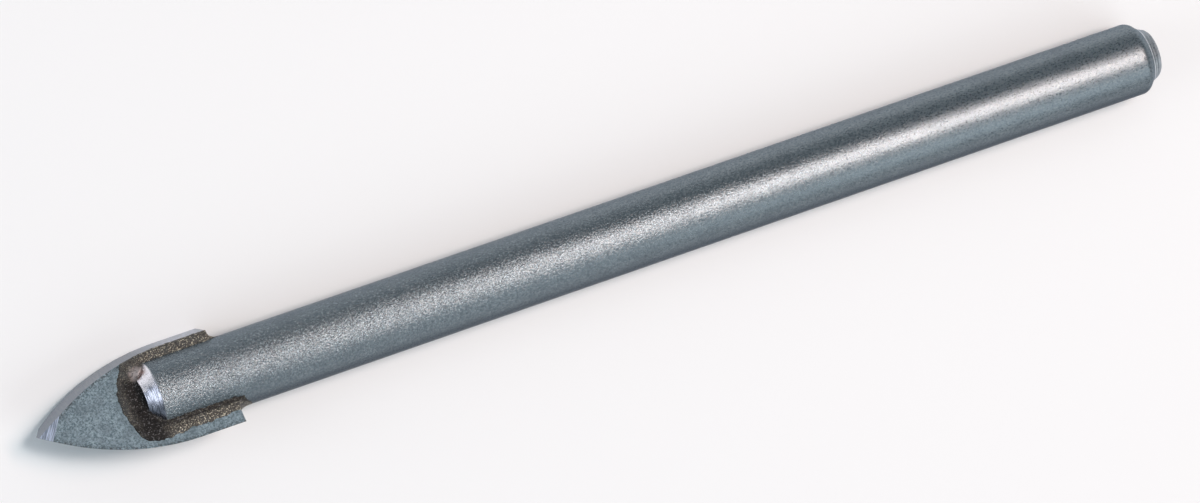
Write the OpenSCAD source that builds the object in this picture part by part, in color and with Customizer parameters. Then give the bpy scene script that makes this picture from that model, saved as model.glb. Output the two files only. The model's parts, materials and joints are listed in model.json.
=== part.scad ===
// Glass and tile drill bit: a spear-shaped carbide blade brazed into the slotted end of a plain steel shank.
// The bit lies along X, point at -X, as it comes to rest: on its shank and the corner of a cutting edge.
// Sizes are in millimetres, and places along the bit are measured from the point.

/* [Bit] */
// Length from the point to the end of the shank
overall_length = 83; // [60:0.5:120]

/* [Shank] */
// Diameter of the plain shank that a chuck grips
shank_d = 5; // [4.4:0.1:6]
// How much slimmer the slotted end becomes towards its front, on the radius
nose_slim = 0.04; // [0.02:0.01:0.12]
// Plain run between the blade's rear edge and the start of the full shank diameter
nose_run = 2; // [1.5:0.1:5]
// Length of the bevel turned on the slotted end
nose_bevel_length = 0.85; // [0.4:0.05:1.4]
// Depth of that bevel, on the radius
nose_bevel_depth = 0.76; // [0.3:0.02:1]

/* [Rear end] */
// Radius of the rounded shoulder where the shank ends
shoulder_r = 0.7; // [0.3:0.05:1.2]
// Slope of the shoulder down to the parting stub, in degrees
shoulder_angle = 45; // [30:1:60]
// Diameter of the parting stub at its foot
stub_foot_d = 3.84; // [3:0.02:3.9]
// Diameter of the parting stub at its end
stub_end_d = 3.4; // [2.6:0.02:3.6]
// Length of the parting stub
stub_length = 0.65; // [0.3:0.05:1.5]
// Bevel round the stub's end
stub_edge = 0.15; // [0.05:0.01:0.25]

/* [Blade] */
// Cutting width
blade_w = 8; // [7:0.1:10]
// Thickness of the carbide
blade_t = 2; // [1.4:0.1:2.4]
// Length of the carbide from the point to its rear edge
blade_length = 13.2; // [11.5:0.1:17]
// Length of the curved cutting edges, from the point to the parallel sides
ogive_length = 10.1; // [8:0.1:11.4]
// Relief of the ground flanks, in degrees from square to the faces
relief_angle = 27.5; // [15:0.5:32]
// How deep the blade seats in the shank
seat_depth = 5.9; // [4:0.1:7]

/* [Point facets] */
// Where a facet's upper edge crosses the bit's axis, behind the point
facet_back = 1.25; // [1.15:0.05:2]
// Angle between that edge and the bit's axis, in degrees
facet_turn = 55; // [45:1:75]
// Slope of the facet from the blade's face, in degrees
facet_slope = 36; // [25:1:40]

/* [Braze] */
// Film of filler between the blade and each wall of its slot
braze_film = 0.08; // [0.04:0.01:0.2]
// How far the filler runs out ahead of the slotted end
pool_reach = 1.4; // [0.6:0.05:2]
// Distance from the axis that the filler covers towards each cutting edge
pool_half_w = 3.5; // [3.1:0.05:3.7]
// Radius of the pool's rounded front, seen from above
pool_front_r = 3.9; // [3.75:0.05:6]
// Thickness of the filler at its outer edge
pool_edge = 0.05; // [0.03:0.01:0.12]
// Radius of the crown across the filler, which makes it thicker towards the shank
pool_crown_r = 23; // [15:0.5:60]
// Slope at which the filler rises from its front edge, in degrees
pool_slope = 10; // [5:0.5:20]
// Fillet behind the blade's rear edge, on the side whose cutting edge faces up
rear_fillet_up_r = 0.9; // [0.4:0.05:1.2]
// Fillet behind the blade's rear edge, on the side whose cutting edge faces down
rear_fillet_down_r = 0.5; // [0.3:0.05:1.2]

/* [Hidden] */
$fn = 360;

shank_r = shank_d / 2;
nose_r = shank_r - nose_slim;
half_t = blade_t / 2;
slot_half = half_t + braze_film;
slot_end = blade_length + braze_film;
nose_start = slot_end - seat_depth;
land_start = blade_length + nose_run;

// The shoulder is an arc that ends at its own slope and a cone down to the stub's foot
shoulder_steps = 8;
stub_start = overall_length - stub_length;
arc_drop = shoulder_r * (1 - cos(shoulder_angle));
arc_run = shoulder_r * sin(shoulder_angle);
cone_drop = shank_r - stub_foot_d / 2 - arc_drop;
cone_run = cone_drop / tan(shoulder_angle);
shoulder_start = stub_start - cone_run - arc_run;

// Seen along its ground flanks the blade is a symmetric spear, half as wide as spear_half at its sides
spear_half = cos(relief_angle) * (blade_w / 2 - half_t * tan(relief_angle));
spear_r = (ogive_length * ogive_length + spear_half * spear_half) / (2 * spear_half);
// Longer than any line through the blade, for prisms and half spaces that are cut back
beyond = blade_w + blade_length;

// How far the bit rolls about its axis until the corner of a cutting edge meets the ground
corner_reach = norm([blade_w / 2, half_t]);
rest_roll = asin(shank_r / corner_reach) - atan(half_t / (blade_w / 2));

// The filler's outline on a face of the blade
pool_front = nose_start - pool_reach;
pool_centre_x = pool_front + pool_front_r;
// Height of the crown's axis, below which the filler is thin at its sides
pool_crown_z = half_t + pool_edge - sqrt(pool_crown_r * pool_crown_r - pool_half_w * pool_half_w);

// Lays the bit, drawn along X from its point with its blade level, on the ground
module at_rest() {
    translate([-overall_length / 2, 0, shank_r])
        rotate([-rest_roll, 0, 0])
            children();
}

// One copy as drawn and one turned half way round the bit's axis
module both_ways() {
    children();
    rotate([180, 0, 0])
        children();
}

// Turned form of the shank before it is slotted
module shank_blank() {
    shoulder_arc = [
        for (i = [0:shoulder_steps])
            let (a = i * shoulder_angle / shoulder_steps)
            [shank_r - shoulder_r * (1 - cos(a)), shoulder_start + shoulder_r * sin(a)]
    ];
    front = [
        [0, nose_start],
        [nose_r - nose_bevel_depth, nose_start],
        [nose_r, nose_start + nose_bevel_length],
        [shank_r, land_start]
    ];
    rear = [
        [stub_foot_d / 2, stub_start],
        [stub_end_d / 2, overall_length - stub_edge],
        [stub_end_d / 2 - stub_edge, overall_length],
        [0, overall_length]
    ];
    rotate([0, 90, 0])
        rotate_extrude()
            polygon(concat(front, shoulder_arc, rear));
}

module slot() {
    translate([nose_start, -shank_d, -slot_half])
        cube([seat_depth, 2 * shank_d, 2 * slot_half]);
}

module slotted_shank() {
    difference() {
        shank_blank();
        slot();
    }
}

// Outline of the blade seen along its flanks: two arcs that meet at the point, then parallel sides
module spear_outline() {
    intersection() {
        translate([0, -spear_half])
            square([ogive_length, 2 * spear_half]);
        translate([ogive_length, spear_r - spear_half])
            circle(spear_r);
        translate([ogive_length, spear_half - spear_r])
            circle(spear_r);
    }
    translate([ogive_length, -spear_half])
        square([blade_length - ogive_length, 2 * spear_half]);
}

// The spear drawn out along the flanks, which lean over by the relief angle
module spear_prism() {
    rotate([relief_angle, 0, 0])
        linear_extrude(height = 2 * beyond, center = true)
            spear_outline();
}

// Everything above a facet that thins the point
module facet_cut() {
    translate([facet_back, 0, half_t])
        rotate([0, 0, facet_turn])
            rotate([-facet_slope, 0, 0])
                translate([-beyond, -beyond, 0])
                    cube([2 * beyond, 2 * beyond, beyond]);
}

module ground_blade() {
    difference() {
        intersection() {
            translate([0, -beyond, -half_t])
                cube([blade_length, 2 * beyond, blade_t]);
            spear_prism();
        }
        both_ways()
            facet_cut();
    }
}

// Filler's outline on a face of the blade: a rounded front and two straight sides
module pool_outline() {
    intersection() {
        translate([pool_front, -pool_half_w])
            square([pool_front_r, 2 * pool_half_w]);
        translate([pool_centre_x, 0])
            circle(pool_front_r);
    }
    translate([pool_centre_x, -pool_half_w])
        square([blade_length - pool_centre_x, 2 * pool_half_w]);
}

// Everything above the slope at the front of the filler
module pool_slope_cut() {
    translate([pool_front, -beyond, half_t + pool_edge])
        rotate([0, -pool_slope, 0])
            translate([-beyond, 0, 0])
                cube([3 * beyond, 2 * beyond, beyond]);
}

// Filler on one face of the blade: round the slotted end's front and along both its sides
module pool() {
    difference() {
        intersection() {
            translate([0, 0, half_t])
                linear_extrude(height = shank_r)
                    pool_outline();
            spear_prism();
            translate([0, 0, pool_crown_z])
                rotate([0, 90, 0])
                    cylinder(h = overall_length, r = pool_crown_r);
        }
        pool_slope_cut();
    }
}

// Filler drawn into the corner between the blade's rear edge and the shank, on the -Y side
module rear_fillet(radius) {
    outer = shank_r + radius;
    translate([blade_length, 0, -slot_half])
        linear_extrude(height = 2 * slot_half)
            difference() {
                translate([-braze_film, -outer])
                    square([radius + braze_film, outer]);
                translate([radius + pool_edge, -outer - pool_edge])
                    circle(radius);
            }
}

// Filler inside the slot, carried just past the shank's sides into the rest of it
module slot_filling() {
    half_y = shank_r + pool_edge;
    translate([nose_start, -half_y, -slot_half])
        cube([seat_depth, 2 * half_y, 2 * slot_half]);
}

module filler() {
    difference() {
        union() {
            slot_filling();
            both_ways()
                pool();
            rear_fillet(rear_fillet_up_r);
            rotate([180, 0, 0])
                rear_fillet(rear_fillet_down_r);
        }
        slotted_shank();
        ground_blade();
    }
}

module shank() {
    color("#7b848b")
        at_rest()
            slotted_shank();
}

module carbide_tip() {
    color("#8a9697")
        at_rest()
            ground_blade();
}

module braze() {
    color("#5a4d3c")
        at_rest()
            filler();
}

shank();
carbide_tip();
braze();
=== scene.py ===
"""Looks of a glass and tile drill bit: a tumbled steel shank, a sintered carbide blade and their braze."""

import json
import math

import bpy
from mathutils import Matrix, Vector, noise

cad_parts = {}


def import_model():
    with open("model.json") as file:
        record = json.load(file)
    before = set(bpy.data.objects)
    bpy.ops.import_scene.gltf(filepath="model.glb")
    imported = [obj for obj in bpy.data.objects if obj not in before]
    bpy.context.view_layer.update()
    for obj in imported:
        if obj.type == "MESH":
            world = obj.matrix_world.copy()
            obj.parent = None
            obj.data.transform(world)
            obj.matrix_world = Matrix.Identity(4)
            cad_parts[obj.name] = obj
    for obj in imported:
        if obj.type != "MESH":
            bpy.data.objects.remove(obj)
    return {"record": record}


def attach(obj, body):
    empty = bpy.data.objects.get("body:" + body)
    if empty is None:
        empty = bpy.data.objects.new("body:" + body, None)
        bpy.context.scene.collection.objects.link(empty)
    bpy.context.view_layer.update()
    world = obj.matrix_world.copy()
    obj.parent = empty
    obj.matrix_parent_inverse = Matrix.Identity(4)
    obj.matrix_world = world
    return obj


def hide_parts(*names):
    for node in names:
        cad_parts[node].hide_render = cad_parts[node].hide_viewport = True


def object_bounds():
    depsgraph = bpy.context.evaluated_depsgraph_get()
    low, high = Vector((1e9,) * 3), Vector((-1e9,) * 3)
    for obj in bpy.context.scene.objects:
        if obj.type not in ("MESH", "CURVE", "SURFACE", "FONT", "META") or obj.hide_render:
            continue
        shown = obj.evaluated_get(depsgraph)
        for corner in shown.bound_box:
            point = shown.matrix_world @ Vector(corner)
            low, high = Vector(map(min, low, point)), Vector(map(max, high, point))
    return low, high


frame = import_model()
cad_low, cad_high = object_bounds()

# Sizes are in millimetres in the bit's own frame:
# X runs from the point, the blade is level, and the shank's axis is at z = 0
MM = 0.001
LENGTH = (cad_high.x - cad_low.x) / MM
SHANK_R = frame["record"]["mounts"][0]["dims"]["r_mm"]

# Blade
HALF_W = 4.0
HALF_T = 1.0
BLADE_LENGTH = 13.2
OGIVE_LENGTH = 10.1
RELIEF = math.radians(27.5)
FACET_BACK = 1.25
FACET_TURN = math.radians(55)
FACET_SLOPE = math.radians(36)
SPEAR_HALF = math.cos(RELIEF) * (HALF_W - HALF_T * math.tan(RELIEF))
SPEAR_R = (OGIVE_LENGTH**2 + SPEAR_HALF**2) / (2 * SPEAR_HALF)

# Shank
FILM = 0.08
SEAT_DEPTH = 5.9
SLOT_HALF = HALF_T + FILM
SLOT_END = BLADE_LENGTH + FILM
NOSE_START = SLOT_END - SEAT_DEPTH
NOSE_SLIM = 0.04
NOSE_R = SHANK_R - NOSE_SLIM
NOSE_RUN = 2
LAND_START = BLADE_LENGTH + NOSE_RUN
BEVEL_LENGTH = 0.85
BEVEL_DEPTH = 0.76
BEVEL_END = NOSE_START + BEVEL_LENGTH
SHOULDER_R = 0.7
SHOULDER_ANGLE = math.radians(45)
STUB_FOOT_R = 1.92
STUB_END_R = 1.7
STUB_LENGTH = 0.65
STUB_EDGE = 0.15
STUB_START = LENGTH - STUB_LENGTH

# The bit lies rolled about its axis until the corner of a cutting edge meets the ground
REST_ROLL = math.asin(SHANK_R / math.hypot(HALF_W, HALF_T)) - math.atan2(HALF_T, HALF_W)
LIE = (
    Matrix.Translation((-LENGTH / 2 * MM, 0, SHANK_R * MM))
    @ Matrix.Rotation(-REST_ROLL, 4, "X")
)
HALF_TURN = Matrix.Rotation(math.pi, 4, "X")


# Mesh helpers

def new_object(name, vertices, faces):
    """A mesh object in the scene."""
    mesh = bpy.data.meshes.new(name)
    mesh.from_pydata(vertices, [], faces)
    mesh.update()
    made = bpy.data.objects.new(name, mesh)
    bpy.context.scene.collection.objects.link(made)
    return made


def block(name, low, high, place=Matrix.Identity(4)):
    """A plain box between two corners, used as a cutter."""
    spans = list(zip(low, high))
    corners = [(x, y, z) for x in spans[0] for y in spans[1] for z in spans[2]]
    faces = [(0, 1, 3, 2), (4, 6, 7, 5), (0, 4, 5, 1), (2, 3, 7, 6), (0, 2, 6, 4), (1, 5, 7, 3)]
    return new_object(name, [place @ Vector(c) for c in corners], faces)


def combine(target, other, operation):
    """Cuts target with other, or keeps what they share, and removes other."""
    modifier = target.modifiers.new("combine", "BOOLEAN")
    modifier.object = other
    modifier.operation = operation
    modifier.solver = "EXACT"
    bpy.context.view_layer.update()
    graph = bpy.context.evaluated_depsgraph_get()
    made = bpy.data.meshes.new_from_object(target.evaluated_get(graph))
    target.modifiers.clear()
    target.data = made
    made.materials.clear()
    bpy.data.objects.remove(other)


def finish_piece(piece, node, materials, sharp_angle):
    """Scales a piece to metres, lays it as the bit lies, and lets it stand for its CAD node."""
    mesh = piece.data
    mesh.transform(LIE @ Matrix.Scale(MM, 4))
    for material in materials:
        mesh.materials.append(material)
    mesh.polygons.foreach_set("use_smooth", [True] * len(mesh.polygons))
    mesh.set_sharp_from_angle(angle=sharp_angle)
    mesh.update()
    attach(piece, "root")
    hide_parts(node)


def steps(start, end, size):
    """Points on a straight run, about size apart, without its end."""
    count = max(1, round((Vector(end) - Vector(start)).length / size))
    return [Vector(start).lerp(Vector(end), i / count) for i in range(count)]


def strip_faces(rows, columns, closed):
    """Quads over a grid of rows by columns, whose columns may close on themselves."""
    faces = []
    for i in range(rows - 1):
        for j in range(columns if closed else columns - 1):
            a = i * columns + j
            b = i * columns + (j + 1) % columns
            faces.append((a, b, b + columns, a + columns))
    return faces


def rim(rows, columns):
    """The points round the edge of a grid, in order."""
    edge = list(range(columns))
    edge += [i * columns + columns - 1 for i in range(1, rows)]
    edge += [(rows - 1) * columns + j for j in range(columns - 2, -1, -1)]
    edge += [i * columns for i in range(rows - 2, 0, -1)]
    return edge


def smooth(low, high, value):
    """A soft step from 0 at low to 1 at high."""
    t = min(1, max(0, (value - low) / (high - low)))
    return t * t * (3 - 2 * t)


# Shank: a lathe form with the small dents and pits of tumbling, then slotted

SHANK_SIDES = 144
SHOULDER_STEPS = 8
# Rounding of the bevel's rear edge
BEVEL_EDGE = 0.04
# How near the axis the flat ends are drawn before a single face closes them, and where they are worn
FRONT_CAP_R = 0.2
REAR_CAP_R = 0.1
WORN_FROM_R = 1
WEAR_DEPTH = 0.004
PIT_DEPTH = 0.022
RING_PITCH = 0.085
RING_DEPTH = 0.012


def shank_profile():
    """Points (x, radius) along the shank's outside, closely spaced where it bends."""
    arc_drop = SHOULDER_R * (1 - math.cos(SHOULDER_ANGLE))
    cone_run = (SHANK_R - STUB_FOOT_R - arc_drop) / math.tan(SHOULDER_ANGLE)
    shoulder_start = STUB_START - cone_run - SHOULDER_R * math.sin(SHOULDER_ANGLE)
    arc = [
        (shoulder_start + SHOULDER_R * math.sin(a), SHANK_R - SHOULDER_R * (1 - math.cos(a)))
        for a in (SHOULDER_ANGLE * i / SHOULDER_STEPS for i in range(SHOULDER_STEPS + 1))
    ]
    # Each corner comes with the spacing of the points that follow it
    corners = [
        ((NOSE_START, FRONT_CAP_R), 0.15),
        ((NOSE_START, NOSE_R - BEVEL_DEPTH), 0.06),
        ((BEVEL_END - BEVEL_EDGE, NOSE_R - BEVEL_EDGE), 0.03),
        ((BEVEL_END + BEVEL_EDGE, NOSE_R), 0.1),
        ((LAND_START, SHANK_R), 0.16),
        *((p, 0.1) for p in arc[:-1]),
        (arc[-1], 0.05),
        ((STUB_START, STUB_FOOT_R), 0.03),
        ((LENGTH - STUB_EDGE, STUB_END_R), 0.04),
        ((LENGTH, STUB_END_R - STUB_EDGE), 0.12),
    ]
    ends = [place for place, _ in corners[1:]] + [(LENGTH, REAR_CAP_R)]
    points = []
    for (start, spacing), end in zip(corners, ends):
        points += steps(start, end, spacing)
    return points


def worn(p):
    """How deep the tumbled surface lies under its true form at p."""
    wave = 1 + 0.6 * noise.noise(p * 0.9) + 0.4 * noise.noise(p * 3.1)
    pit = max(0, noise.noise(p * 2.3 + Vector((31, 7, 3))) - 0.5) / 0.5
    return WEAR_DEPTH * wave + PIT_DEPTH * pit


def make_shank():
    """The worn bar with turning rings on its stub and the slot for the blade."""
    profile = shank_profile()
    vertices = []
    for x, radius in profile:
        for j in range(SHANK_SIDES):
            a = 2 * math.pi * j / SHANK_SIDES
            out = Vector((0, math.cos(a), math.sin(a)))
            depth = worn(Vector((x, 0, 0)) + radius * out) if radius > WORN_FROM_R else 0
            if STUB_START < x < LENGTH:
                wander = 0.3 * noise.noise(Vector((x * 4, out.y, out.z)))
                depth += RING_DEPTH * (0.5 + 0.5 * math.cos(2 * math.pi * (x / RING_PITCH + wander)))
            vertices.append(Vector((x, 0, 0)) + (radius - depth) * out)
    faces = strip_faces(len(profile), SHANK_SIDES, True)
    first_cap = tuple(range(SHANK_SIDES))
    last_cap = tuple(range(len(vertices) - 1, len(vertices) - SHANK_SIDES - 1, -1))
    shank = new_object("shank_bar", vertices, faces + [first_cap, last_cap])
    wide = 2 * SHANK_R
    slot = block("slot", (NOSE_START - 1, -wide, -SLOT_HALF), (SLOT_END, wide, SLOT_HALF))
    combine(shank, slot, "DIFFERENCE")
    return shank


# Blade: a slab with sintered faces, trimmed to the spear and thinned at the point

FACE_STEP = 0.1
GRAIN_DEPTH = 0.007
SPEAR_STEPS = 120
# How far the slab reaches past the spear ahead of the point and at its sides, to be trimmed
SLAB_AHEAD = 0.4
SLAB_ASIDE = 0.5
# Longer than any line through the blade
BEYOND = 20
# The blade's materials, and how level a face is from which it is sintered and up to which it is a flank
SINTERED, FLANK, FACET = range(3)
SINTERED_LEVEL = 0.94
FLANK_LEVEL = 0.75
# How squarely a face looks back along the bit from which it belongs to the rear edge
REAR_SQUARE = 0.9


def spear_half_width(x):
    """Half width of the spear seen along its flanks."""
    run = OGIVE_LENGTH - min(x, OGIVE_LENGTH)
    return SPEAR_HALF - SPEAR_R + math.sqrt(SPEAR_R**2 - run**2)


def far_edge(x, z=HALF_T):
    """How far the blade reaches from the axis towards +Y, at x and height z."""
    return (spear_half_width(x) - z * math.sin(RELIEF)) / math.cos(RELIEF)


def sintered_slab():
    """A slab as thick as the blade whose two faces have the fine grain of pressed powder."""
    start = -SLAB_AHEAD
    run = BLADE_LENGTH - start
    side = HALF_W + SLAB_ASIDE
    rows = round(run / FACE_STEP) + 1
    columns = round(2 * side / FACE_STEP) + 1
    vertices = []
    for up in (1, -1):
        for i in range(rows):
            for j in range(columns):
                x = start + run * i / (rows - 1)
                y = side * (2 * j / (columns - 1) - 1)
                p = Vector((x, y, 9 * up))
                grain = 0.5 + 0.3 * noise.noise(p * 5.5) + 0.2 * noise.noise(p * 2.1)
                vertices.append((x, y, up * (HALF_T - GRAIN_DEPTH * grain)))
    count = rows * columns
    sheet = strip_faces(rows, columns, False)
    edge = rim(rows, columns)
    faces = [tuple(reversed(f)) for f in sheet]
    faces += [tuple(count + k for k in f) for f in sheet]
    faces += [(a, b, b + count, a + count) for a, b in zip(edge, edge[1:] + edge[:1])]
    return new_object("carbide_blade", vertices, faces)


def spear_prism():
    """The spear drawn out along the flanks, which lean over by the relief angle."""
    places = [OGIVE_LENGTH * i / SPEAR_STEPS for i in range(SPEAR_STEPS + 1)]
    near = [(x, -spear_half_width(x)) for x in places]
    end = 2 * BLADE_LENGTH
    outline = near + [(end, -SPEAR_HALF), (end, SPEAR_HALF)]
    outline += [(x, -y) for x, y in reversed(near[1:])]
    lean = Matrix.Rotation(RELIEF, 4, "X")
    reach = 2 * HALF_W
    vertices = [lean @ Vector((x, y, z)) for z in (-reach, reach) for x, y in outline]
    n = len(outline)
    walls = [(i, (i + 1) % n, n + (i + 1) % n, n + i) for i in range(n)]
    caps = [tuple(range(n - 1, -1, -1)), tuple(range(n, 2 * n))]
    return new_object("spear", vertices, walls + caps)


def blade_surface(normal):
    """Which material a face of the blade has: faces and rear edge, flanks, or facets at the point."""
    level = abs(normal.z)
    if level > SINTERED_LEVEL or normal.x > REAR_SQUARE:
        return SINTERED
    return FLANK if level < FLANK_LEVEL else FACET


def make_blade():
    """The slab cut to the spear, with one facet on each face."""
    blade = sintered_slab()
    combine(blade, spear_prism(), "INTERSECT")
    facet = (
        Matrix.Translation((FACET_BACK, 0, HALF_T))
        @ Matrix.Rotation(FACET_TURN, 4, "Z")
        @ Matrix.Rotation(-FACET_SLOPE, 4, "X")
    )
    for turn in (Matrix.Identity(4), HALF_TURN):
        cutter = block("facet", (-BEYOND, -BEYOND, 0), (BEYOND, BEYOND, BEYOND), turn @ facet)
        combine(blade, cutter, "DIFFERENCE")
    for p in blade.data.polygons:
        p.material_index = blade_surface(p.normal)
    return blade


# Braze: a crusted pool on each face of the blade and a fillet behind each end of its rear edge

# The pool's outline on a face, from the near side round the front to the far edge
POOL_OUTLINE = [
    (13.18, -3.1), (12.0, -3.16), (10.85, -3.24), (9.97, -3.16), (8.93, -3.3),
    (7.8, -3.34), (7.12, -3.28), (6.44, -2.93), (6.08, -2.38), (5.88, -1.6),
    (5.76, -0.73), (5.76, 0.05), (5.9, 0.83), (6.26, 1.62), (6.84, 2.58),
]
POOL_STEP = 0.07
POOL_ROWS = 30
# How deep the pool sinks into the face, and how far it keeps inside the blade's far and rear edges
POOL_SINK = 0.06
POOL_MARGIN = 0.02
# The line that the pool runs to under the shank: along its sides, and ahead of it from -Y to +Y
POOL_WALL = SHANK_R - 0.4
POOL_TURN_X = BEVEL_END + 0.15
POOL_FRONT_X = NOSE_START + 0.12
POOL_FRONT_Y = 1.15
# Where the pool's front goes over into its sides
SIDE_START = NOSE_START + 0.22
SIDE_FULL = NOSE_START + 1.22
CRATER = (NOSE_START - 0.58, -0.88)
CRATER_R = 0.17
# Where the filler climbed the bevel
SMEAR = (NOSE_START + 0.22, 1.55)
SMEAR_R = 0.35
# How far each rear fillet runs along the shank and out along the rear edge
NEAR_FILLET = (1.3, 0.85)
FAR_FILLET = (0.65, 0.48)
FILLET_LAYERS = 22
FILLET_STEPS = 20
# How far the fillets reach into the blade and the shank, and keep inside the slot and the flank
FILLET_IN_BLADE = 0.15
FILLET_IN_SHANK = 0.25
FILLET_SLOT_MARGIN = 0.02
FILLET_FLANK_MARGIN = 0.05


def curve_through(points, size):
    """A smooth line through points, with samples about size apart."""
    knots = [Vector(p) for p in points]
    knots = [2 * knots[0] - knots[1]] + knots + [2 * knots[-1] - knots[-2]]
    line = []
    for a, b, c, d in zip(knots, knots[1:], knots[2:], knots[3:]):
        count = max(2, round((c - b).length / size))
        for t in (i / count for i in range(count)):
            bend = (2 * a - 5 * b + 4 * c - d) * t**2 + (3 * b - a - 3 * c + d) * t**3
            line.append(b + 0.5 * ((c - a) * t + bend))
    return line + [Vector(points[-1])]


def along(points, share):
    """The point at that share of the way along a chain of points."""
    lengths = [(b - a).length for a, b in zip(points, points[1:])]
    left = share * sum(lengths)
    for a, b, length in zip(points, points[1:], lengths):
        if left <= length:
            return a.lerp(b, left / length)
        left -= length
    return points[-1]


def wobbled(line, calm_from, seed):
    """A line made uneven sideways, and only inwards from the sample calm_from on."""
    made = []
    for i, p in enumerate(line):
        q = Vector((p.x, p.y, seed))
        wobble = 0.1 * noise.noise(q * 1.6) + 0.08 * noise.noise(q * 4.5) + 0.04 * noise.noise(q * 11)
        ahead = line[min(i + 1, len(line) - 1)] - line[max(i - 1, 0)]
        out = Vector((ahead.y, -ahead.x)).normalized()
        if i >= calm_from:
            wobble = -POOL_MARGIN - abs(wobble) * 0.5
        made.append(p + out * wobble)
    return made


def pool_lines(seed):
    """The pool's outer line on the face and, sample by sample, the line that it runs to under the shank."""
    outer = curve_through(POOL_OUTLINE, POOL_STEP)
    calm_from = len(outer) - 4
    far_x = POOL_OUTLINE[-1][0]
    far_run = BLADE_LENGTH - POOL_MARGIN - far_x
    count = round(far_run / POOL_STEP)
    far = [far_x + far_run * i / count for i in range(1, count + 1)]
    outer += [Vector((x, far_edge(x))) for x in far]
    chain = [
        Vector((POOL_TURN_X, -POOL_WALL)), Vector((POOL_FRONT_X, -POOL_FRONT_Y)),
        Vector((POOL_FRONT_X, POOL_FRONT_Y)), Vector((POOL_TURN_X, POOL_WALL)),
    ]
    ahead = [i for i, p in enumerate(outer) if p.x < POOL_TURN_X]
    first, last = ahead[0], ahead[-1]
    inner = []
    for i, p in enumerate(outer):
        if i < first or i > last:
            inner.append(Vector((p.x, math.copysign(POOL_WALL, p.y))))
        else:
            inner.append(along(chain, (i - first) / (last - first)))
    return wobbled(outer, calm_from, seed), inner


def bell(p, centre, size):
    """1 at a centre, falling off over about size."""
    return math.exp(-((p.x - centre[0]) ** 2 + (p.y - centre[1]) ** 2) / size**2)


def pool_height(p, t, seed):
    """Height of the filler above the face at p, where t runs from its outer line to the shank."""
    q = Vector((p.x, p.y, seed))
    front = 1 - smooth(SIDE_START, SIDE_FULL, p.x)
    round_edge = math.sqrt(1 - (1 - min(1, t / 0.14)) ** 2)
    # A low ridge along the sides and a rim round a moat ahead of the shank, both closing up to the shank
    side = 0.05 + 0.1 * math.sin(math.pi * min(1, t / 0.85)) + 0.12 * smooth(0.74, 0.84, t)
    moat = 0.09 + 0.15 * math.sin(math.pi * min(1, t / 0.75)) - 0.05 * smooth(0.6, 0.8, t)
    moat += 0.14 * smooth(0.84, 0.92, t) + 0.35 * smooth(0.55, 1, t) * smooth(0.6, 1.6, p.y)
    height = side * (1 - front) + moat * front
    lumps = 0.05 * noise.noise(q * 1.7) + 0.05 * noise.noise(q * 4.2) + 0.035 * noise.noise(q * 9)
    pits = 0.16 * max(0, noise.noise(q * 3.4 + Vector((5, 9, 2))) - 0.3)
    crater = 0.2 * bell(p, CRATER, CRATER_R)
    smear = 0.3 * bell(p, SMEAR, SMEAR_R)
    return round_edge * max(0.015, height + lumps - pits - crater + smear)


def pool(seed):
    """Vertices and faces of one closed pool on the upper face."""
    outer, inner = pool_lines(seed)
    columns = len(outer)
    upper = []
    bevel_shade_share = []
    for i in range(POOL_ROWS):
        t = i / (POOL_ROWS - 1)
        for a, b in zip(outer, inner):
            p = a.lerp(b, t)
            upper.append((p.x, p.y, HALF_T - GRAIN_DEPTH + pool_height(p, t, seed)))
            bevel_shade_share.append((p.x, p.y, HALF_T - POOL_SINK))
    n = len(upper)
    sheet = strip_faces(POOL_ROWS, columns, False)
    edge = rim(POOL_ROWS, columns)
    walls = [(a, a + n, b + n, b) for a, b in zip(edge, edge[1:] + edge[:1])]
    return upper + bevel_shade_share, sheet + [tuple(n + k for k in reversed(f)) for f in sheet] + walls


def rear_fillet(size, seed):
    """Vertices and faces of the filler drawn into the corner behind the blade, on the -Y side."""
    half = SLOT_HALF - FILLET_SLOT_MARGIN
    inside = BLADE_LENGTH - FILLET_IN_BLADE
    vertices = []
    for i in range(FILLET_LAYERS):
        z = half * (2 * i / (FILLET_LAYERS - 1) - 1)
        shrink = 1 - 0.06 * abs(z / half) ** 6
        wall = math.sqrt(SHANK_R**2 - z**2)
        # It runs out sooner towards its upper side
        run = size[0] * shrink * (1 - 0.5 * smooth(-0.4, 1, z / half))
        rise = min(size[1] * shrink, far_edge(BLADE_LENGTH, -z) - wall - FILLET_FLANK_MARGIN)
        ring = [(inside, -wall + FILLET_IN_SHANK), (inside, -wall - rise)]
        for a in (math.pi / 2 * k / FILLET_STEPS for k in range(FILLET_STEPS + 1)):
            ring.append((BLADE_LENGTH + run - run * math.cos(a), -wall - rise + rise * math.sin(a)))
        ring.append((BLADE_LENGTH + run, -wall + FILLET_IN_SHANK))
        for x, y in ring:
            lump = 0.02 * noise.noise(Vector((x, y, z + seed)) * 3)
            vertices.append((x, y + lump, z))
    columns = len(ring)
    faces = strip_faces(FILLET_LAYERS, columns, True)
    caps = [tuple(range(columns - 1, -1, -1)), tuple(range(len(vertices) - columns, len(vertices)))]
    return vertices, faces + caps


def make_braze():
    """Both pools and both rear fillets, as one piece."""
    shells = [
        (pool(3.0), Matrix.Identity(4)),
        (pool(17.0), HALF_TURN),
        (rear_fillet(NEAR_FILLET, 1.0), Matrix.Identity(4)),
        (rear_fillet(FAR_FILLET, 6.0), HALF_TURN),
    ]
    vertices = []
    faces = []
    for (points, quads), place in shells:
        faces += [tuple(len(vertices) + k for k in f) for f in quads]
        vertices += [place @ Vector(p) for p in points]
    return new_object("braze_fill", vertices, faces)


# Materials: node trees over the bit's own coordinates, in metres from the point

SMEAR_COLOUR = (0.5, 0.44, 0.43)


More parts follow.
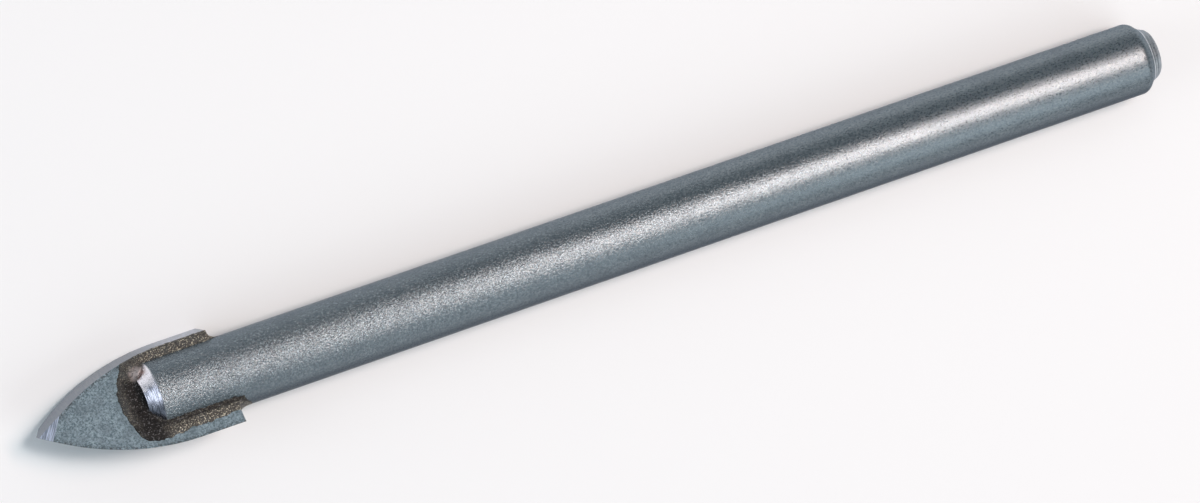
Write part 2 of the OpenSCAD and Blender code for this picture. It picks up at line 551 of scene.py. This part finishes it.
class Surface:
    """A material with one Principled shader and short ways to add the nodes that feed it."""

    def __init__(self, name):
        self.material = bpy.data.materials.new(name)
        self.material.use_nodes = True
        self.tree = self.material.node_tree
        self.shader = self.tree.nodes["Principled BSDF"]
        where = self.tree.nodes.new("ShaderNodeTexCoord").outputs["Object"]
        lie = {"Vector": where, "Location": LIE.to_translation(), "Rotation": LIE.to_euler()}
        self.place = self.add("ShaderNodeMapping", lie, vector_type="TEXTURE").outputs[0]
        axes = self.add("ShaderNodeSeparateXYZ", {0: self.place})
        self.x, self.y, self.z = axes.outputs

    def feed(self, socket, value):
        """Links a node's output to a socket, or sets the socket's own value."""
        if isinstance(value, bpy.types.NodeSocket):
            self.tree.links.new(value, socket)
        else:
            socket.default_value = value

    def add(self, kind, inputs, **settings):
        """A new node with its settings made and its inputs fed."""
        node = self.tree.nodes.new(kind)
        for key, value in settings.items():
            setattr(node, key, value)
        for key, value in inputs.items():
            self.feed(node.inputs[key], value)
        return node

    def set(self, **inputs):
        """Feeds the shader's sockets, named in small letters, and gives the material."""
        for key, value in inputs.items():
            name = key.replace("_", " ").title().replace("Ior", "IOR")
            self.feed(self.shader.inputs[name], value)
        return self.material

    def noise(self, size, detail=2, stretch=(1, 1, 1), roughness=0.5, turn=0.0):
        """Noise with grains of about size millimetres, drawn out by stretch along axes turned about Z."""
        where = self.place
        if turn:
            where = self.add("ShaderNodeMapping", {"Vector": where, "Rotation": (0, 0, turn)}).outputs[0]
        if stretch != (1, 1, 1):
            squeezed = tuple(1 / s for s in stretch)
            where = self.add("ShaderNodeMapping", {"Vector": where, "Scale": squeezed}).outputs[0]
        inputs = {"Vector": where, "Scale": 1 / (size * MM), "Detail": detail, "Roughness": roughness}
        return self.add("ShaderNodeTexNoise", inputs).outputs[0]

    def math(self, operation, a, b=0.0):
        return self.add("ShaderNodeMath", {0: a, 1: b}, operation=operation).outputs[0]

    def mix(self, share, a, b):
        """A blend of two colours, each an output or three numbers."""
        a, b = (c if isinstance(c, bpy.types.NodeSocket) else (*c, 1) for c in (a, b))
        return self.add("ShaderNodeMix", {0: share, 6: a, 7: b}, data_type="RGBA").outputs[2]

    def step(self, value, low, high, to_low=0, to_high=1):
        """A value spread between two ends, held beyond them."""
        inputs = {"Value": value, "From Min": low, "From Max": high, "To Min": to_low, "To Max": to_high}
        return self.add("ShaderNodeMapRange", inputs, interpolation_type="SMOOTHSTEP").outputs[0]

    def ramp(self, value, low, high, to_low=0, to_high=1):
        """A step between two places in millimetres."""
        return self.step(value, low * MM, high * MM, to_low, to_high)

    def band(self, value, start, end, soft):
        """1 between two places in millimetres, with soft edges."""
        rise = self.ramp(value, start - soft, start + soft)
        fall = self.ramp(value, end - soft, end + soft, 1, 0)
        return self.math("MULTIPLY", rise, fall)

    def spot(self, centre, size):
        """1 at a place in millimetres on the plane of the blade, falling to 0 at size."""
        dx = self.math("SUBTRACT", self.x, centre[0] * MM)
        dy = self.math("SUBTRACT", self.y, centre[1] * MM)
        square = self.math("ADD", self.math("MULTIPLY", dx, dx), self.math("MULTIPLY", dy, dy))
        return self.ramp(self.math("SQRT", square), 0.3 * size, size, 1, 0)

    def bump(self, height, depth, strength=1.0, under=None):
        """Relief that is depth millimetres deep, on top of another bump."""
        inputs = {"Height": height, "Distance": depth * MM, "Strength": strength}
        if under is not None:
            inputs["Normal"] = under
        return self.add("ShaderNodeBump", inputs).outputs[0]


def steel_material():
    s = Surface("tumbled_steel")
    grain = s.noise(0.13, 5, (1.4, 1, 1), 0.68)
    fine = s.noise(0.07, 2)
    blotch = s.noise(1.6, 3)
    colour = s.mix(s.step(grain, 0.32, 0.7), (0.16, 0.194, 0.218), (0.3, 0.342, 0.366))
    colour = s.mix(s.step(blotch, 0.4, 0.75, 0, 0.3), colour, (0.15, 0.178, 0.2))
    # Painted shade: darker towards the underside, standing in for a darker reflection there
    colour = s.mix(s.ramp(s.z, 1.15, -0.2, 0, 0.85), colour, (0.055, 0.062, 0.07))
    # Ground bevel at the slotted end, scored round, with a painted highlight on its upper side and painted
    # shade towards the near side
    bevel = s.band(s.x, NOSE_START - 0.2, BEVEL_END + 0.02, 0.03)
    scores = s.step(s.noise(0.1, 3, (0.5, 6, 6)), 0.36, 0.6)
    waver = s.math("MULTIPLY", s.noise(0.5, 2), 0.9 * MM)
    # Share of painted shade: 1 towards the near side of the bevel, 0 on its upper side
    bevel_shade_share = s.ramp(s.math("ADD", s.y, waver), 0.75, 0.25)
    flecks = s.step(s.noise(0.16, 3), 0.56, 0.64, 0, 0.6)
    # Painted highlight with real dark flecks above, painted shade with the real scores on the near side
    bevel_painted_highlight = s.mix(flecks, (0.92, 0.91, 0.97), (0.36, 0.36, 0.43))
    bevel_painted_shade = s.mix(scores, (0.15, 0.17, 0.21), (0.46, 0.5, 0.6))
    colour = s.mix(bevel, colour, s.mix(bevel_shade_share, bevel_painted_highlight, bevel_painted_shade))
    tan = s.math("MULTIPLY", s.spot(SMEAR, 0.8), s.step(s.noise(0.2, 3), 0.38, 0.52))
    colour = s.mix(s.math("MULTIPLY", bevel, tan), colour, SMEAR_COLOUR)
    # Bright turned rim of the bevel, then the parting stub with its rings and bright foot
    rim_front = s.band(s.x, BEVEL_END - 0.03, BEVEL_END + 0.05, 0.02)
    colour = s.mix(s.step(rim_front, 0, 1, 0, 0.5), colour, (0.55, 0.57, 0.6))
    stub = s.band(s.x, STUB_START + 0.02, LENGTH + 1, 0.02)
    rings = s.step(s.noise(0.1, 2, (0.6, 20, 20)), 0.38, 0.62)
    colour = s.mix(stub, colour, s.mix(rings, (0.25, 0.28, 0.3), (0.5, 0.53, 0.56)))
    edge = s.band(s.x, STUB_START - 0.06, STUB_START + 0.04, 0.02)
    colour = s.mix(edge, colour, (0.86, 0.88, 0.9))
    rough = s.step(grain, 0.3, 0.7, 0.17, 0.29)
    rough = s.math("ADD", rough, s.ramp(s.x, 30, 75, 0, 0.08))
    # The grain is coarse at the slotted end, where the heat of brazing reached, and finer towards the rear
    coarse = s.ramp(s.x, 10, 75, 0.9, 0.36)
    # Bevel and stub are turned bright and have little grain
    bare = s.math("SUBTRACT", 1.0, s.math("MAXIMUM", bevel, stub))
    relief = s.bump(grain, 0.07, s.math("MULTIPLY", coarse, s.step(bare, 0, 1, 0.25, 1)))
    relief = s.bump(fine, 0.02, s.step(bare, 0, 1, 0.2, 0.5), relief)
    return s.set(
        base_color=colour, metallic=1.0, roughness=rough, normal=relief, specular_tint=(0.55, 0.6, 0.66, 1)
    )


def edge_distance(s):
    """How far a point of the blade lies inside the nearer flank, in metres."""
    run = s.math("MAXIMUM", s.math("SUBTRACT", OGIVE_LENGTH * MM, s.x), 0.0)
    square = s.math("SUBTRACT", (SPEAR_R * MM) ** 2, s.math("MULTIPLY", run, run))
    half = s.math("ADD", s.math("SQRT", square), (SPEAR_HALF - SPEAR_R) * MM)
    across = s.math("MULTIPLY", s.y, math.cos(RELIEF))
    across = s.math("ADD", across, s.math("MULTIPLY", s.z, math.sin(RELIEF)))
    return s.math("SUBTRACT", half, s.math("ABSOLUTE", across))


def sintered_material():
    s = Surface("sintered_carbide")
    grain = s.noise(0.13, 4, roughness=0.7)
    blotch = s.noise(0.9, 3)
    colour = s.mix(s.step(grain, 0.34, 0.66), (0.09, 0.142, 0.17), (0.33, 0.43, 0.49))
    colour = s.mix(s.step(blotch, 0.38, 0.68, 0, 0.5), colour, (0.122, 0.165, 0.192))
    # Dark flecks where the faces meet the ground flanks
    fleck = s.step(s.noise(0.14, 2), 0.42, 0.6)
    fleck = s.math("MULTIPLY", fleck, s.ramp(edge_distance(s), 0.04, 0.3, 0.8, 0))
    colour = s.mix(fleck, colour, (0.045, 0.052, 0.058))
    relief = s.bump(grain, 0.045, 0.8)
    rough = s.step(grain, 0.3, 0.7, 0.48, 0.62)
    return s.set(base_color=colour, metallic=0.55, roughness=rough, normal=relief)


def flank_material():
    s = Surface("ground_flank")
    lines = s.noise(0.1, 2, (0.9, 14, 14), 0.5, math.radians(20))
    mottle = s.noise(0.6, 3)
    colour = s.mix(s.step(lines, 0.36, 0.64), (0.3, 0.34, 0.4), (0.56, 0.6, 0.69))
    colour = s.mix(s.step(mottle, 0.38, 0.66, 0, 0.4), colour, (0.3, 0.335, 0.385))
    # The flanks are cleanest behind, where the wheel left them last
    colour = s.mix(s.ramp(s.x, 7.5, 12, 0.8, 0.1), colour, (0.11, 0.14, 0.18))
    relief = s.bump(lines, 0.03, 0.6)
    rough = s.step(lines, 0.3, 0.7, 0.28, 0.4)
    return s.set(base_color=colour, metallic=0.85, roughness=rough, normal=relief)


def facet_material():
    s = Surface("ground_facet")
    scratches = s.noise(0.08, 3, (0.8, 14, 14), 0.6, math.radians(35))
    colour = s.mix(s.step(scratches, 0.36, 0.62), (0.24, 0.285, 0.37), (0.66, 0.74, 0.9))
    relief = s.bump(scratches, 0.03, 0.7)
    rough = s.step(scratches, 0.3, 0.7, 0.3, 0.45)
    return s.set(base_color=colour, metallic=0.8, roughness=rough, normal=relief)


def braze_material():
    s = Surface("stained_braze")
    speck = s.noise(0.14, 3, roughness=0.7)
    crumb = s.noise(0.085, 2)
    patch = s.noise(0.7, 2)
    front = s.ramp(s.x, NOSE_START + 1.42, NOSE_START + 0.02)
    crust = s.mix(s.step(speck, 0.36, 0.64), (0.026, 0.024, 0.022), (0.115, 0.108, 0.096))
    crust = s.mix(s.step(patch, 0.4, 0.62, 0, 0.6), crust, (0.075, 0.078, 0.078))
    gold = s.step(crumb, 0.57, 0.63)
    gold = s.math("MULTIPLY", gold, s.step(front, 0, 1, 0.95, 0.4))
    colour = s.mix(gold, crust, (0.58, 0.55, 0.44))
    # Flux burnt black round the slotted end, on each face's own near side, and a painted shadow line along
    # the shank where the pool meets it
    across = s.math("MULTIPLY", s.y, s.math("SIGN", s.z))
    flux_char_and_shade = s.math("MULTIPLY", front, s.ramp(s.x, NOSE_START - 1.48, NOSE_START - 0.68, 0.3, 0.95))
    flux_char_and_shade = s.math("MULTIPLY", flux_char_and_shade, s.ramp(across, 0.9, 1.7, 1, 0.15))
    # Painted shade: a dark band where the pool meets the shank, standing in for the shadow in the gap
    # between them
    shank_shadow_line = s.band(across, -SHANK_R - 0.02, -SHANK_R + 0.6, 0.13)
    flux_char_and_shade = s.math("MAXIMUM", flux_char_and_shade, s.step(shank_shadow_line, 0, 1, 0, 0.8))
    ash = s.math("MULTIPLY", s.step(s.noise(0.11, 3), 0.57, 0.64), 0.4)
    colour = s.mix(flux_char_and_shade, colour, s.mix(ash, (0.012, 0.011, 0.011), (0.3, 0.3, 0.31)))
    # A smear where the filler climbed the bevel
    smear = s.math("MULTIPLY", s.spot(SMEAR, 0.7), s.step(s.noise(0.2, 3), 0.38, 0.52, 0.3, 0.95))
    colour = s.mix(smear, colour, SMEAR_COLOUR)
    relief = s.bump(speck, 0.07, 0.8)
    relief = s.bump(crumb, 0.03, 0.7, relief)
    rough = s.step(speck, 0.3, 0.7, 0.45, 0.72)
    sheen = s.step(flux_char_and_shade, 0, 1, 0.5, 0.15)
    metal = s.step(flux_char_and_shade, 0, 1, 0.35, 0.05)
    return s.set(
        base_color=colour, metallic=metal, roughness=rough, normal=relief, specular_ior_level=sheen
    )


# In the order of SINTERED, FLANK and FACET
blade_materials = [sintered_material(), flank_material(), facet_material()]
finish_piece(make_shank(), "shank", [steel_material()], math.radians(24))
finish_piece(make_blade(), "carbide_tip", blade_materials, math.radians(20))
finish_piece(make_braze(), "braze", [braze_material()], math.radians(60))


# Stage, in metres: a pale floor, soft lamps and the photograph's camera

FLOOR_HALF = 4.0


def floor():
    half = FLOOR_HALF
    corners = [(-half, -half, 0), (half, -half, 0), (half, half, 0), (-half, half, 0)]
    made = new_object("floor", corners, [(0, 1, 2, 3)])
    s = Surface("pale_floor")
    shade = s.noise(400, 1)
    colour = s.mix(shade, (0.87, 0.91, 0.93), (0.88, 0.92, 0.94))
    made.data.materials.append(s.set(base_color=colour, roughness=0.9))


def lamp(name, place, target, size, radiance, colour):
    """A soft rectangular lamp whose surface shines at radiance."""
    light = bpy.data.lights.new(name, "AREA")
    light.shape = "RECTANGLE"
    light.size, light.size_y = size
    light.energy = radiance * math.pi * size[0] * size[1]
    light.color = colour
    made = bpy.data.objects.new(name, light)
    bpy.context.scene.collection.objects.link(made)
    made.location = place
    back = (Vector(place) - Vector(target)).normalized()
    side = Vector((0, 0, 1)).cross(back).normalized()
    up = back.cross(side)
    made.rotation_mode = "QUATERNION"
    made.rotation_quaternion = Matrix((side, up, back)).transposed().to_quaternion()


def lamps():
    lamp("key_front", (0.06, 0.032, 0.45), (-0.02, 0, 0), (0.125, 0.095), 21.0, (1.0, 0.965, 0.94))
    lamp("key_rear", (0.2, 0.036, 0.45), (0.04, 0, 0), (0.185, 0.1), 13.0, (1.0, 0.7, 0.6))
    lamp("fill", (0.26, -0.43, 0.36), (0, 0, 0), (0.5, 0.4), 1.15, (0.95, 0.98, 1.0))
    lamp("front_card", (-0.46, 0.05, 0.22), (-0.03, 0, 0), (0.3, 0.2), 2.6, (0.98, 0.97, 1.0))


def world():
    made = bpy.data.worlds.new("studio")
    bpy.context.scene.world = made
    made.use_nodes = True
    background = made.node_tree.nodes["Background"]
    background.inputs["Color"].default_value = (0.84, 0.93, 1.0, 1)
    background.inputs["Strength"].default_value = 0.33


# The camera as the photograph has it, its lengths in millimetres, in the frame in which the bit lies
CAMERA_TARGET = (-0.539, -0.51, 2.5)
CAMERA_DISTANCE = 674.364
CAMERA_AZIMUTH = math.radians(-102.8748)
CAMERA_ELEVATION = math.radians(71.5119)
CAMERA_ROLL = math.radians(84.4535)
CAMERA_LENS = 301.877
CAMERA_SENSOR = 36


def camera():
    a, e = CAMERA_AZIMUTH, CAMERA_ELEVATION
    back = Vector((math.sin(a) * math.cos(e), -math.cos(a) * math.cos(e), math.sin(e)))
    level = Vector((0, 0, 1)).cross(back).normalized()
    right = Matrix.Rotation(CAMERA_ROLL, 3, back) @ level
    up = back.cross(right)
    turn = Matrix((right, up, back)).transposed().to_4x4()
    place = (Vector(CAMERA_TARGET) + back * CAMERA_DISTANCE) * MM
    data = bpy.data.cameras.new("photo_camera")
    data.lens = CAMERA_LENS
    data.sensor_width = CAMERA_SENSOR
    data.clip_start = 0.01
    made = bpy.data.objects.new("photo_camera", data)
    bpy.context.scene.collection.objects.link(made)
    made.matrix_world = Matrix.Translation(place) @ turn
    bpy.context.scene.camera = made


floor()
lamps()
world()
camera()
bpy.context.scene.view_settings.view_transform = "Standard"
